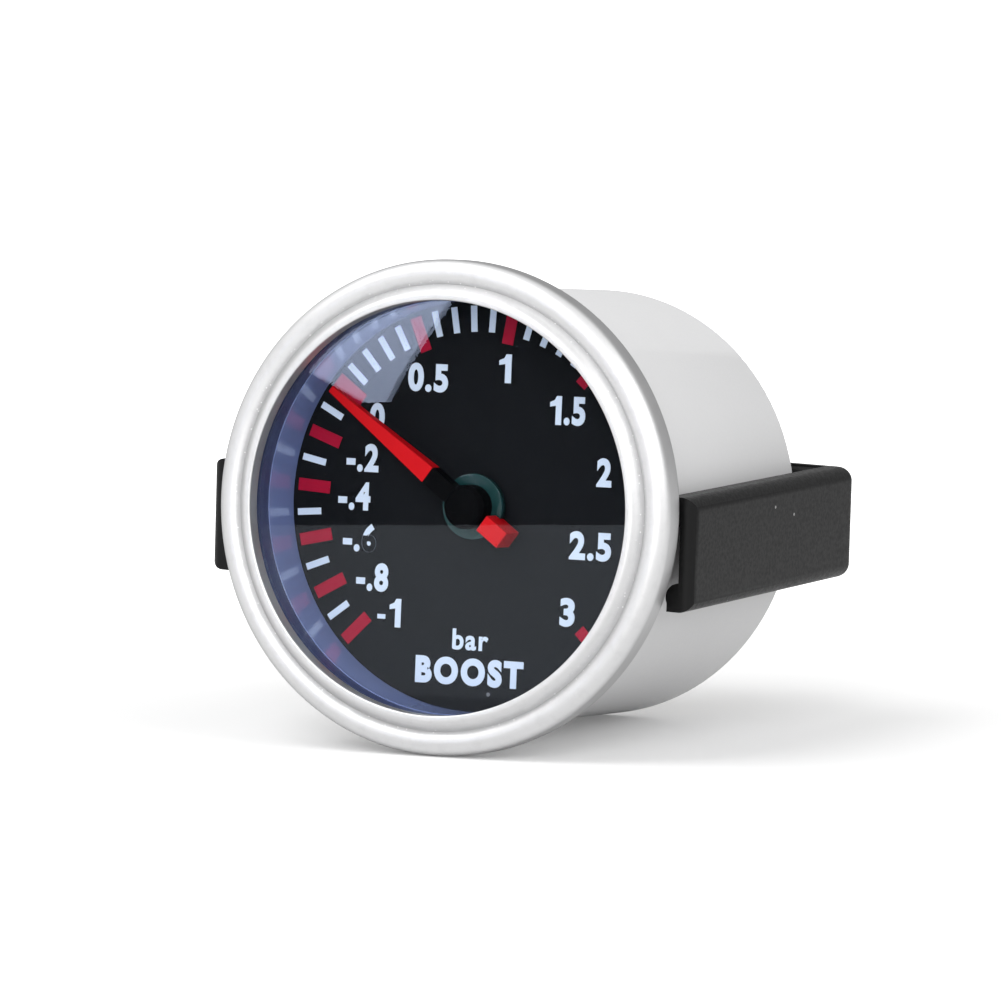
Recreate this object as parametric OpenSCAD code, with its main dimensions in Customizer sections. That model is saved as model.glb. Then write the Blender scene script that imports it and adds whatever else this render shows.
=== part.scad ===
// Panel boost gauge with a Bourdon tube movement, a rolled bezel and a U bracket.
// Millimetres. The gauge axis is Y: the dial faces -Y, +X is right seen from the
// front and +Z is up. The origin is on the axis, at the bezel's rear face, which
// seats on the panel. Angles are counter-clockwise from +X, seen from the front.

/* [Case] */
// Outer radius of the case, for a 52 mm panel hole
case_r = 26; // [25.5:0.1:26.4]
// Depth of the case behind the bezel's rear face
case_depth = 41.6; // [39:0.5:44]
// Wall thickness of the drawn case
case_wall = 0.8; // [0.6:0.05:0.9]
// Outside corner radius at the rear of the case
case_corner_r = 0.8; // [0.5:0.1:1.5]
// Step down to the neck that the bezel is rolled around
neck_step = 0.6; // [0.5:0.05:0.7]
// Wall of the thinned neck
neck_wall = 0.4; // [0.3:0.05:0.5]
// Thickness of the case's front flange
flange_t = 0.7; // [0.5:0.05:0.9]

/* [Bezel] */
// Reach of the bezel's edge beyond the case
bezel_reach = 3; // [2.8:0.1:3.4]
// Width of the bezel's front, from its edge to the opening
bezel_w = 4.8; // [4.7:0.1:5.2]
// Thickness of the lip in front of the lens
lip_t = 1.9; // [1.7:0.1:2]
// Width of the flat on the lip's front
lip_flat = 0.35; // [0.2:0.05:0.5]
// Radius of the outer bead
bead_r = 1.65; // [1.5:0.05:1.7]
// Setback of the bead behind the lip's front
bead_set = 0.75; // [0.6:0.05:0.9]
// Distance of the valley beside the bead from the bezel's edge
valley_in = 2.9; // [2.8:0.1:3.1]
// Wall of the rolled bezel
bezel_wall = 1; // [0.8:0.1:1.2]
// Thickness of the rear roll behind the case's flange
roll_t = 0.9; // [0.8:0.05:1]

/* [Lens and dial] */
// Thickness of the glass lens
lens_t = 1.5; // [1.2:0.1:1.6]
// Thickness of the gasket under the lens
gasket_t = 0.5; // [0.3:0.05:0.6]
// Wall of the gasket's collar
gasket_collar_t = 0.55; // [0.4:0.05:0.6]
// Depth of the gasket's collar behind the bezel's rear face
gasket_depth = 0.2; // [0.1:0.1:0.6]
// Depth of the dial's face behind the bezel's rear face
dial_y = 6.6; // [6:0.1:8]
// Thickness of the dial plate
dial_t = 0.8; // [0.6:0.1:1]
// Radius of the dial's centre hole
dial_hole_r = 1.1; // [0.9:0.1:1.3]
// Wall of the shroud ring in front of the dial
shroud_wall = 0.6; // [0.5:0.05:0.8]
// Wall of the light chamber behind the dial
chamber_wall = 0.8; // [0.6:0.1:1]
// Thickness of the printed scale
print_t = 0.06; // [0.05:0.01:0.1]

/* [Scale] */
// Angle of the -1 bar mark
scale_start = 225; // [220:1:230]
// Degrees for 0.1 bar of vacuum
vacuum_step = 8.1; // [8:0.1:8.2]
// Degrees for 0.1 bar of boost
boost_step = 6.3; // [6.2:0.1:6.4]
// Distance of the marks from the dial's edge
mark_in = 1.2; // [1:0.1:1.5]
// Length of the long red marks
major_l = 4.2; // [3.8:0.1:4.6]
// Length of the short white marks
minor_l = 3.1; // [2.8:0.1:3.4]
// Width of the red marks
major_w = 1.45; // [1.2:0.05:1.6]
// Width of the zero mark
zero_w = 2.4; // [2:0.1:2.6]
// Width of the white marks
minor_w = 0.8; // [0.6:0.05:1]

/* [Pointer] */
// Distance of the pointer's front from the bezel's rear face
pointer_y = 2.7; // [2.4:0.1:3]
// Gap between the blade's tip and the shroud ring
blade_gap = 2; // [1.5:0.1:2.6]
// Radius where the red blade leaves the hub's arm
blade_root_r = 6; // [5.5:0.1:7]
// Width of the blade at its root
blade_w = 2.2; // [1.8:0.1:2.6]
// Width of the blade at its tip
blade_tip_w = 0.8; // [0.6:0.1:1]
// Depth of the blade at its root
blade_t = 2; // [1.6:0.1:2.4]
// Inner radius of the tail weight
tail_in_r = 2.95; // [2.9:0.05:3.2]
// Outer radius of the tail weight
tail_out_r = 6.3; // [6:0.1:7]
// Depth of the tail weight
tail_t = 3.6; // [3.2:0.1:3.7]
// Radius of the hub's cap
hub_r = 2.6; // [2.4:0.1:2.8]
// Radius of the clear light guide under the hub
guide_r = 3.9; // [3.5:0.1:4.2]
// Thickness of the light guide
guide_t = 1.1; // [0.9:0.1:1.2]

/* [Movement] */
// Distance of the sector's pivot from the Bourdon tube's middle line
pivot_in = 7.8; // [7.4:0.1:8.2]
// Play between the teeth, along the pitch circle
backlash = 0.03; // [0.02:0.005:0.05]
// Direction of the sector's pivot from the axis
pivot_angle = -25; // [-27:1:-23]
// Distance of the front movement plate from the bezel's rear face
plate_y = 13; // [12.8:0.1:13.4]
// Thickness of the movement plates
plate_t = 1; // [0.8:0.1:1.1]
// Gap between the movement plates
plate_gap = 8; // [7.8:0.1:8.4]
// Thickness of the sector gear
sector_t = 1; // [0.8:0.1:1.1]
// Face width of the pinion
pinion_w = 3; // [2.6:0.1:3.4]
// Distance from the sector's pivot to its link pin
tail_arm = 5; // [4.8:0.1:5.2]
// Distance of the link's end pin inside the Bourdon tube's middle line
tip_pin_in = 0.26; // [0.2:0.02:0.4]
// Thickness of the link
link_t = 0.6; // [0.5:0.05:0.7]
// Radius of the link pins
pin_r = 0.45; // [0.4:0.05:0.5]
// Radius of the steel arbors
arbor_r = 0.6; // [0.5:0.05:0.7]
// Distance of the Bourdon tube's middle line from the light chamber
tube_in = 3.8; // [3.6:0.1:4]
// Width of the Bourdon tube, along the axis
tube_w = 5; // [4.6:0.1:5.4]
// Thickness of the flattened Bourdon tube
tube_t = 1.8; // [1.6:0.1:2]
// Wall of the Bourdon tube
tube_wall = 0.25; // [0.2:0.05:0.3]
// Width of the hairspring's strip
hair_w = 1.2; // [1:0.1:1.4]
// Thickness of the hairspring's strip
hair_t = 0.15; // [0.12:0.01:0.2]
// Outer radius of the hairspring
hair_r = 5; // [4.6:0.1:5.4]

/* [Inlet] */
// Radius of the hose nipple
nipple_r = 2.4; // [2.2:0.1:2.6]
// Bore radius of the nipple
nipple_bore_r = 1; // [0.8:0.1:1.2]
// Length of the nipple behind its hexagon
nipple_l = 16; // [14:0.5:18]
// Width across the flats of the hexagon
inlet_hex = 9; // [8.5:0.5:9.5]
// Thickness of the hexagon
inlet_hex_t = 1.6; // [1.4:0.1:1.7]
// Radius of the threaded shank
shank_r = 3; // [2.8:0.1:3.2]
// Radius of the brass socket block
block_r = 7; // [6.8:0.1:7.4]

/* [Mounting] */
// Radius of the mounting studs
stud_r = 2; // [1.9:0.05:2.1]
// Distance of each stud from the axis
stud_x = 14; // [13:0.5:15]
// Length of the studs behind the case
stud_l = 17; // [16:0.5:19]
// Distance of the bracket's rear face from the case's rear
bracket_stand = 5.9; // [5.8:0.1:7]
// Gap between the case and the bracket's legs
leg_gap = 2.85; // [2.75:0.05:3.5]
// Distance of the legs' ends behind the bezel's rear face
leg_end = 2.2; // [2.1:0.1:2.7]
// Rounding of the legs' ends
leg_end_r = 1.4; // [1:0.1:1.6]
// Height of the bracket's legs
bracket_h = 13.4; // [12.6:0.1:14]
// Web thickness of the bracket
bracket_web = 1.8; // [1.6:0.1:2]
// Depth of the legs' channel section
leg_depth = 3.25; // [3:0.05:3.3]
// Depth of the rear strip's channel section
strip_depth = 2.6; // [2.4:0.1:2.7]
// Thickness of the channel's flanges
bracket_rim = 2; // [1.8:0.1:2.4]
// Rounding of the bracket's long edges
bracket_edge_r = 1.7; // [1.2:0.1:1.75]
// Rounding of the bracket's upright corners
bracket_corner_r = 2.2; // [2:0.1:2.4]
// Forward droop of the bracket on its loose nuts
bracket_droop = 4.2; // [3.8:0.1:4.4]
// Sideways roll of the bracket on its loose nuts
bracket_roll = 1.4; // [1:0.1:1.6]
// Swing of the bracket towards the left
bracket_swing = 2.3; // [2.1:0.1:2.4]
// Radius of the bracket's stud holes
bracket_hole_r = 2.7; // [2.6:0.05:2.9]
// Radius of the bracket's hole for the inlet
bracket_port_r = 4.2; // [4:0.1:4.4]
// Width across the flats of the nuts
nut_hex = 7; // [6.5:0.5:7]
// Thickness of the nuts
nut_t = 3.2; // [2.8:0.1:3.4]
// Radius of the washers
washer_r = 4.5; // [4.2:0.1:4.7]
// Thickness of the washers
washer_t = 0.8; // [0.6:0.1:1]

/* [Lamp] */
// Radius of the lamp holder's body
lamp_r = 4.9; // [4.6:0.1:5]
// Radius of the lamp holder's flange
lamp_flange_r = 6.2; // [6:0.1:6.4]
// Radius of the bulb
bulb_r = 2.5; // [2.3:0.1:2.7]

/* [Hidden] */
$fn = 96;

// Length by which every cut runs past its solid
overrun = 1;
// Gap between pieces of one body that seat around each other
seat_gap = 0.05;
// Radial clearance of a turning fit
run_gap = 0.04;
// Gap of the stacked rings to the case's neck
stack_gap = 0.1;

// Case and bezel
neck_r = case_r - neck_step;
neck_in_r = neck_r - neck_wall;
neck_lap = 0.6;
bezel_r = case_r + bezel_reach;
lip_r = bezel_r - bezel_w;
valley_r = bezel_r - valley_in;
channel_r = bezel_r - bezel_wall;
channel_fill_r = channel_r - stack_gap;
stack_r = neck_in_r - stack_gap;
flange_y = -roll_t - flange_t;
gasket_y = flange_y - gasket_t;
lens_y = gasket_y - lens_t;
bezel_h = lip_t - lens_y;
bead_y = bezel_h - bead_set - bead_r;
rear_y = case_depth - case_wall;
lens_chamfer = 0.15;
lip_chamfer = 0.2;

// Dial, shroud and light chamber
shroud_in_r = stack_r - shroud_wall;
dial_back = dial_y + dial_t;
chamber_in_r = stack_r - chamber_wall;
mark_out_r = stack_r - mark_in;
vacuum_marks = 10;
boost_marks = 30;
vacuum_major_every = 2;
boost_major_every = 5;
zero_angle = scale_start - vacuum_marks * vacuum_step;

// Pointer
blade_tip_r = shroud_in_r - blade_gap;
blade_tip_t = 0.9;
hub_front = 0.25;
hub_dome = 0.5;
guide_gap = 0.4;
guide_y = dial_y - guide_gap - guide_t;
hub_back = guide_y;
arbor_front_y = pointer_y + 0.1 * blade_t;

// Movement: the pinion is on the axis, the sector's pivot beside it
pinion_teeth = 10;
sector_teeth = 90;
first_tooth = -7;
last_tooth = 4;
pressure_angle = 20;
profile_shift_share = 0.4;
addendum_share = 0.8;
dedendum_share = 1.25;
flank_steps = 5;
tube_r = chamber_in_r - tube_in;
pivot_r = tube_r - pivot_in;
tooth_m = 2 * pivot_r / (pinion_teeth + sector_teeth);
pivot = pivot_r * [cos(pivot_angle), sin(pivot_angle)];
back_plate_y = plate_y + plate_t + plate_gap;
movement_back = back_plate_y + plate_t;
sector_mid_share = 0.3125;
sector_y = plate_y + plate_t + plate_gap * sector_mid_share - sector_t / 2;
pinion_y = sector_y + sector_t / 2 - pinion_w / 2;
link_play = 0.1;
link_y = sector_y + sector_t + link_play;
stroke_angle = 20;
arm_lag = 6;
arm_angle = stroke_angle - 90 - arm_lag;
arm_pin = pivot + tail_arm * [cos(arm_angle), sin(arm_angle)];
stroke = [cos(stroke_angle), sin(stroke_angle)];
link_l = sqrt(pow(arm_pin * stroke, 2) + pow(tube_r - tip_pin_in, 2) - arm_pin * arm_pin) - arm_pin * stroke;
tip_pin = arm_pin + link_l * stroke;
tip_angle = atan2(tip_pin[1], tip_pin[0]);
eye_r = 1.3;
link_bar_w = 1.3;
open_pivot_gap = 0.22;
pin_head_r = 0.85;
pin_head_t = 0.35;
pin_y = sector_y - 0.5 * sector_t;
pin_back = link_y + link_t + 2 * link_play;
sector_hub_r = 1.9;
sector_rim_w = 1.6;
sector_arm_w = 1.7;
sector_arbor_r = 0.9;
sector_edge = 3;
pillar_r = 1.2;
pillar_shares = [[-0.64, -0.64], [-0.4, 0.8], [0.8, 0.56]];
pillars = pivot_r * pillar_shares;
plate_boss_r = 2.2;
screw_head_r = 1.4;
screw_head_t = 0.6;
screw_r = 0.55;
screw_l = 4;
slot_w = 0.3;
block_screw_x = 5;
collet_r = 1.3;
hair_y = back_plate_y - 2.5 * screw_head_t - hair_w;
hair_turns = 4;
hair_step_angle = 15;
hair_stud_angle = 200;
hair_stud_r = 0.5;
shoulder_step = 0.14;
arbor_shoulder_r = arbor_r + shoulder_step;

// Bourdon tube, its tip and the socket block
tube_y = link_y + link_t / 2;
tube_start = 240;
tip_gap_angle = 7.5;
tip_cap_w = 2.6;
tip_cap_t = 5.6;
tip_cap_angle = 2.5;
tube_end = tip_angle + tip_gap_angle;
tube_span = tube_start - tube_end;
lug_t = 0.9;
lug_y = link_y - link_play - lug_t - 0.3 * sector_t;
block_arm_w = 6;
block_arm_t = 6;
block_arm_gap = 1;
block_arm_y = movement_back + block_arm_gap;
post_w = 4.6;
post_len = 6;
post_rim = 0.5;
post_y = tube_y - tube_w / 2 - post_rim;
post_r = tube_r - post_w / 2;
duct_r = 0.8;
duct_y = block_arm_y + block_arm_t / 2;

// Inlet
washer_seal_t = 0.5;
washer_seal_r = 5.4;
hex_y = case_depth + washer_seal_t;
stem_y = hex_y + inlet_hex_t;
stem_l = 1.4;
nipple_y = stem_y + stem_l;
nipple_end = stem_y + nipple_l;
nipple_chamfer = 0.4;
shank_l = 8;
damper_l = 3;
damper_bore_r = 0.3;

// Studs, nuts and bracket
stud_head_r = 3.4;
stud_head_t = 1;
stud_chamfer = 0.4;
nut_gap = 0.08;
washer_tilt = washer_r * (sin(bracket_droop) + sin(bracket_swing));
bracket_pocket_r = 6.2;
bracket_half_w = case_r + leg_gap + leg_depth;
bracket_y = case_depth + bracket_stand;
bracket_l = bracket_y - leg_end;
bracket_rear = [0, bracket_y, 0];
bracket_turn = [bracket_droop, bracket_roll, -bracket_swing];

// Lamp, between the socket block and the light chamber
lamp_z = (block_r + chamber_in_r) / 2;
lamp_in = 8;
lamp_flange_t = 1.2;
lamp_tail_r = 4;
lamp_tail_l = 5.5;
lamp_grip_w = 10.4;
lamp_grip_t = 1.8;
lamp_wire_r = 0.8;
lamp_wire_x = 1.7;
bulb_l = 8.5;
bulb_wall = 0.25;
bulb_base_w = 4.4;
bulb_base_t = 1.8;
bulb_base_l = 3;
bulb_pinch_l = 1;
filament_w = 2;
filament_t = 0.3;

function on_circle(r, a) = r * [cos(a), sin(a)];

// Draws a plate in the front view, from depth y back by t
module plate(y, t) {
    translate([0, y + t, 0]) rotate([90, 0, 0]) linear_extrude(t) children();
}

// Turns a profile of radius against depth around the gauge axis
module turned() {
    rotate([-90, 0, 0]) rotate_extrude() children();
}

// A bar along the axis from depth y back by l, at p in the front view
module rod(p, y, r, l) {
    translate([p[0], y, p[1]]) rotate([-90, 0, 0]) cylinder(r = r, h = l);
}

// A turned nose that tapers over the last c of a rod of length l
module nosed_rod(p, y, r, l, c) {
    translate([p[0], y, p[1]]) rotate([-90, 0, 0]) {
        cylinder(r = r, h = l - c);
        translate([0, 0, l - c]) cylinder(r1 = r, r2 = r - c, h = c);
    }
}

// A ring between two radii and two depths, as a profile for turned()
module ring_profile(r1, r2, y1, y2) {
    translate([r1, y1]) square([r2 - r1, y2 - y1]);
}

// Case

module case_profile() {
    ring_profile(neck_in_r, channel_fill_r, flange_y, -roll_t);
    ring_profile(neck_in_r, neck_r, flange_y, neck_lap);
    ring_profile(case_r - case_wall, case_r, 0, case_depth - case_corner_r);
    difference() {
        union() {
            translate([case_r - case_corner_r, case_depth - case_corner_r]) circle(r = case_corner_r);
            ring_profile(0, case_r - case_corner_r, rear_y, case_depth);
            ring_profile(case_r - case_wall - case_corner_r, case_r - case_wall / 2,
                rear_y - case_corner_r, case_depth - case_corner_r);
        }
        ring_profile(0, case_r - case_wall, rear_y - 2 * case_corner_r, rear_y);
    }
}

module case_shell() {
    color([0.83, 0.84, 0.85]) difference() {
        turned() case_profile();
        rod([0, 0], rear_y - overrun, shank_r + seat_gap, case_wall + 2 * overrun);
        rod([0, lamp_z], rear_y - overrun, lamp_r + seat_gap, case_wall + 2 * overrun);
        for (s = [-1, 1])
            rod([s * stud_x, 0], rear_y - overrun, stud_r + seat_gap, case_wall + 2 * overrun);
    }
}

// Bezel: a bead, a valley and a lip in front, rolled in behind the case's flange
module bezel_profile() {
    bead_x = bezel_r - bead_r;
    difference() {
        union() {
            translate([bead_x, -bead_y]) circle(r = bead_r);
            ring_profile(bead_x, bezel_r, -bead_y, -bezel_wall);
            translate([channel_r, -bezel_wall]) circle(r = bezel_wall);
            ring_profile(neck_r + seat_gap, channel_r, -roll_t, 0);
            polygon([[lip_r, -bezel_h + lip_t], [lip_r, -bezel_h + lip_chamfer],
                [lip_r + lip_chamfer, -bezel_h], [lip_r + lip_chamfer + lip_flat, -bezel_h],
                [valley_r, -bead_y - sqrt(pow(bead_r, 2) - pow(bead_x - valley_r, 2))],
                [bead_x, -bead_y - bead_r / 2], [bead_x, -bezel_h + lip_t]]);
        }
        ring_profile(lip_r - overrun, channel_r, -bezel_h + lip_t, -roll_t);
    }
}

module bezel() {
    color([0.86, 0.86, 0.86]) turned() bezel_profile();
}

module lens() {
    color([0.75, 0.85, 0.9, 0.35]) turned() polygon([[0, lens_y],
        [channel_fill_r - lens_chamfer, lens_y], [channel_fill_r, lens_y + lens_chamfer],
        [channel_fill_r, gasket_y - lens_chamfer], [channel_fill_r - lens_chamfer, gasket_y],
        [0, gasket_y]]);
}

module lens_gasket() {
    collar_r = neck_in_r - seat_gap;
    color([0.08, 0.08, 0.09]) turned() {
        ring_profile(collar_r - gasket_collar_t, channel_fill_r, gasket_y, flange_y);
        ring_profile(collar_r - gasket_collar_t, collar_r, gasket_y, gasket_depth);
    }
}

module shroud_ring() {
    color([0.2, 0.25, 0.42]) turned() ring_profile(shroud_in_r, stack_r, gasket_depth, dial_y);
}

// Dial and printed scale

module dial_plate() {
    color([0.05, 0.05, 0.06]) turned() ring_profile(dial_hole_r, stack_r, dial_y, dial_back);
}

function mark_angle(i) = i <= 0 ? zero_angle - i * vacuum_step : zero_angle - i * boost_step;
function is_major(i) = i <= 0 ? (i % vacuum_major_every) == 0 : (i % boost_major_every) == 0;

module mark(i, l, w) {
    rotate(mark_angle(i)) translate([mark_out_r - l, -w / 2]) square([l, w]);
}

module scale_minor_marks() {
    color([0.85, 0.92, 1]) plate(dial_y - print_t, print_t)
        for (i = [-vacuum_marks : boost_marks])
            if (!is_major(i)) mark(i, minor_l, minor_w);
}

module scale_major_marks() {
    color([0.8, 0.08, 0.15]) plate(dial_y - print_t, print_t)
        for (i = [-vacuum_marks : boost_marks])
            if (is_major(i)) mark(i, major_l, i == 0 ? zero_w : major_w);
}

module light_chamber() {
    color([0.93, 0.93, 0.91]) turned() ring_profile(chamber_in_r, stack_r, dial_back, rear_y);
}

// Pointer, drawn along +X and turned to the zero mark

module at_zero() {
    rotate([0, -zero_angle, 0]) children();
}

module pointer_hub() {
    color([0.07, 0.07, 0.08]) difference() {
        union() {
            rod([0, 0], pointer_y - hub_front + hub_dome, hub_r, hub_back - pointer_y + hub_front - hub_dome);
            translate([0, pointer_y - hub_front, 0]) rotate([-90, 0, 0])
                cylinder(r1 = hub_r - hub_dome, r2 = hub_r, h = hub_dome);
            at_zero() translate([0, pointer_y, -blade_w / 2]) cube([blade_root_r, blade_t, blade_w]);
        }
        rod([0, 0], arbor_front_y, arbor_r + seat_gap / 2, hub_back);
    }
}

// The blade tapers in width and in depth towards its tip
module pointer_blade() {
    color([0.82, 0.04, 0.08]) at_zero() intersection() {
        translate([0, pointer_y + blade_t, 0]) rotate([90, 0, 0]) linear_extrude(blade_t)
            polygon([[blade_root_r, -blade_w / 2], [blade_tip_r, -blade_tip_w / 2],
                [blade_tip_r, blade_tip_w / 2], [blade_root_r, blade_w / 2]]);
        translate([0, pointer_y, -blade_w]) linear_extrude(2 * blade_w)
            polygon([[blade_root_r, 0], [blade_tip_r, 0], [blade_tip_r, blade_tip_t], [blade_root_r, blade_t]]);
    }
}

module tail_block(grow) {
    at_zero() translate([-tail_out_r - grow, pointer_y - grow, -blade_w / 2 - grow])
        cube([tail_out_r - tail_in_r + 2 * grow, tail_t + 2 * grow, blade_w + 2 * grow]);
}

module pointer_tail() {
    color([0.82, 0.04, 0.08]) tail_block(0);
}

module pointer_light_guide() {
    color([0.08, 0.18, 0.16, 0.8]) difference() {
        rod([0, 0], guide_y, guide_r, guide_t);
        rod([0, 0], guide_y - overrun, arbor_r + seat_gap / 2, guide_t + 2 * overrun);
        tail_block(seat_gap / 2);
    }
}

// Gear teeth: involute flanks down to the base circle, radial below it

function involute(a) = tan(a) - a * PI / 180;
function base_r(z) = tooth_m * z / 2 * cos(pressure_angle);
function tip_r(z, shift) = tooth_m * (z / 2 + addendum_share + shift);
function root_r(z, shift) = tooth_m * (z / 2 - dedendum_share + shift);
function flank_angle(r, z, shift) = 180 / PI * ((PI / 2 + 2 * shift * tan(pressure_angle)) / z
    - backlash / (2 * tooth_m * z) + involute(pressure_angle)
    - involute(acos(min(1, base_r(z) / max(r, base_r(z))))));

// The outline of one tooth pointing at angle a, from root to root
function tooth_points(z, shift, a) =
    let (low = root_r(z, shift), mid = max(low, base_r(z)), high = tip_r(z, shift),
        radii = concat(low < mid ? [low] : [],
            [for (k = [0 : flank_steps]) mid + (high - mid) * k / flank_steps]),
        last = len(radii) - 1)
    concat([for (r = radii) on_circle(r, a - flank_angle(r, z, shift))],
        [for (k = [last : -1 : 0]) on_circle(radii[k], a + flank_angle(radii[k], z, shift))]);

module pinion_outline() {
    polygon([for (k = [0 : pinion_teeth - 1])
        each tooth_points(pinion_teeth, profile_shift_share, pivot_angle + (k + 0.5) * 360 / pinion_teeth)]);
}

module pinion_arbor() {
    color([0.75, 0.76, 0.78]) {
        rod([0, 0], arbor_front_y, arbor_r, movement_back - arbor_front_y);
        rod([0, 0], plate_y + plate_t + run_gap, arbor_shoulder_r, plate_gap - 2 * run_gap);
        plate(pinion_y, pinion_w) pinion_outline();
    }
}

// Hairspring: a flat spiral strip between its collet and its stud

function hair_radius(a) = collet_r + hair_t + (hair_r - collet_r - hair_t) * a / (360 * hair_turns);

module hairspring_collet() {
    color([0.8, 0.65, 0.3]) difference() {
        rod([0, 0], hair_y, collet_r, hair_w);
        rod([0, 0], hair_y - overrun, arbor_shoulder_r + seat_gap / 2, hair_w + 2 * overrun);
    }
}

module hairspring() {
    steps = [for (a = [0 : hair_step_angle : 360 * hair_turns]) a];
    outer = [for (a = steps) on_circle(hair_radius(a) + hair_t / 2, hair_stud_angle + a)];
    inner = [for (k = [len(steps) - 1 : -1 : 0])
        on_circle(hair_radius(steps[k]) - hair_t / 2, hair_stud_angle + steps[k])];
    color([0.35, 0.4, 0.55]) plate(hair_y, hair_w) polygon(concat(outer, inner));
}

module hairspring_stud() {
    color([0.8, 0.65, 0.3])
        rod(on_circle(hair_r + hair_t / 2 + hair_stud_r, hair_stud_angle), hair_y, hair_stud_r,
            back_plate_y - hair_y);
}

// Movement plates, pillars and screws

module plate_outline() {
    hull() {
        for (p = pillars) translate(p) circle(r = plate_boss_r, $fn = 32);
        translate(pivot) circle(r = plate_boss_r, $fn = 32);
    }
}

module movement_front_plate() {
    color([0.8, 0.65, 0.3]) difference() {
        plate(plate_y, plate_t) plate_outline();
        rod([0, 0], plate_y - overrun, arbor_r + run_gap, plate_t + 2 * overrun);
        rod(pivot, plate_y - overrun, arbor_r + run_gap, plate_t + 2 * overrun);
        for (p = pillars)
            rod(p, plate_y - overrun, screw_r + seat_gap, plate_t + 2 * overrun);
    }
}

module movement_back_plate() {
    color([0.8, 0.65, 0.3]) difference() {
        plate(back_plate_y, plate_t) plate_outline();
        rod([0, 0], back_plate_y - overrun, arbor_r + run_gap, plate_t + 2 * overrun);
        rod(pivot, back_plate_y - overrun, arbor_r + run_gap, plate_t + 2 * overrun);
        for (s = [-1, 1])
            rod([s * block_screw_x, 0], back_plate_y - overrun, screw_r + seat_gap, plate_t + 2 * overrun);
    }
}

module movement_pillars() {
    color([0.8, 0.65, 0.3]) for (p = pillars) difference() {
        rod(p, plate_y + plate_t, pillar_r, plate_gap);
        rod(p, plate_y, screw_r + seat_gap, screw_l + seat_gap);
    }
}

// A cheese-head screw whose head's seat is at depth y
module slotted_screw(p, y) {
    difference() {
        union() {
            rod(p, y - screw_head_t, screw_head_r, screw_head_t);
            rod(p, y - screw_head_t, screw_r, screw_l);
        }
        translate([p[0] - screw_head_r, y - screw_head_t - overrun, p[1] - slot_w / 2])
            cube([2 * screw_head_r, overrun + screw_head_t / 2, slot_w]);
    }
}

module plate_screws() {
    color([0.72, 0.73, 0.75]) for (p = pillars) slotted_screw(p, plate_y);
}

module block_screws() {
    color([0.72, 0.73, 0.75]) for (s = [-1, 1]) slotted_screw([s * block_screw_x, 0], back_plate_y);
}

// Sector gear: a toothed rim, two spokes, a hub and the tail that the link pulls

sector_pitch = 360 / sector_teeth;
sector_from = first_tooth * sector_pitch - sector_edge;
sector_to = last_tooth * sector_pitch + sector_edge;

module sector_outline() {
    root = root_r(sector_teeth, -profile_shift_share);
    translate(pivot) {
        rotate(180 + pivot_angle) difference() {
            polygon(concat([[0, 0], on_circle(root, sector_from)],
                [for (k = [first_tooth : last_tooth])
                    each tooth_points(sector_teeth, -profile_shift_share, k * sector_pitch)],
                [on_circle(root, sector_to)]));
            intersection() {
                circle(r = root - sector_rim_w);
                translate([sector_hub_r + sector_rim_w, 0])
                    polygon([[0, 0], on_circle(root, sector_from), on_circle(root, sector_to)]);
            }
        }
        circle(r = sector_hub_r);
        rotate(arm_angle) {
            translate([0, -sector_arm_w / 2]) square([tail_arm, sector_arm_w]);
            translate([tail_arm, 0]) circle(r = eye_r);
        }
    }
}

module sector_gear() {
    color([0.84, 0.7, 0.35]) difference() {
        plate(sector_y, sector_t) sector_outline();
        rod(pivot, sector_y - overrun, sector_arbor_r + seat_gap / 2, sector_t + 2 * overrun);
        rod(arm_pin, sector_y - overrun, pin_r + seat_gap / 2, sector_t + 2 * overrun);
    }
}

module sector_arbor() {
    color([0.75, 0.76, 0.78]) {
        rod(pivot, plate_y, arbor_r, movement_back - plate_y);
        rod(pivot, plate_y + plate_t + run_gap, sector_arbor_r, plate_gap - 2 * run_gap);
    }
}

module headed_pin(p, y) {
    rod(p, y, pin_r, pin_back - y);
    rod(p, pin_back, pin_head_r, pin_head_t);
}

module sector_link_pin() {
    color([0.75, 0.76, 0.78]) headed_pin(arm_pin, pin_y);
}

module link() {
    color([0.84, 0.7, 0.35]) difference() {
        plate(link_y, link_t) translate(arm_pin) rotate(stroke_angle) {
            circle(r = eye_r);
            translate([link_l, 0]) circle(r = eye_r);
            translate([0, -link_bar_w / 2]) square([link_l, link_bar_w]);
        }
        rod(arm_pin, link_y - overrun, pin_r + run_gap, link_t + 2 * overrun);
        rod(tip_pin, link_y - overrun, pin_r + open_pivot_gap, link_t + 2 * overrun);
    }
}

// Bourdon tube and its tip piece

module tube_section(grow) {
    w = tube_w + 2 * grow;
    t = tube_t + 2 * grow;
    square([t, w - t], center = true);
    for (s = [-1, 1]) translate([0, s * (w - t) / 2]) circle(r = t / 2);
}

// Sweeps a section around the axis from angle a by span, at depth y
module swept(a, span, r, y) {
    translate([0, y, 0]) rotate([90, 0, 0]) rotate([0, 0, a]) rotate_extrude(angle = span)
        translate([r, 0]) children();
}

module bourdon_tube() {
    color([0.78, 0.62, 0.3]) swept(tube_end, tube_span, tube_r, tube_y) difference() {
        tube_section(0);
        tube_section(-tube_wall);
    }
}

module tube_tip() {
    color([0.8, 0.65, 0.3]) {
        swept(tube_end - tip_cap_angle, tip_cap_angle, tube_r, tube_y)
            square([tip_cap_w, tip_cap_t], center = true);
        plate(lug_y, lug_t) {
            translate(tip_pin) circle(r = eye_r);
            rotate(tip_angle) translate([norm(tip_pin) - eye_r, 0])
                square([2 * eye_r, tube_r * tan(tip_gap_angle - tip_cap_angle / 2)]);
        }
        headed_pin(tip_pin, lug_y);
    }
}

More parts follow.
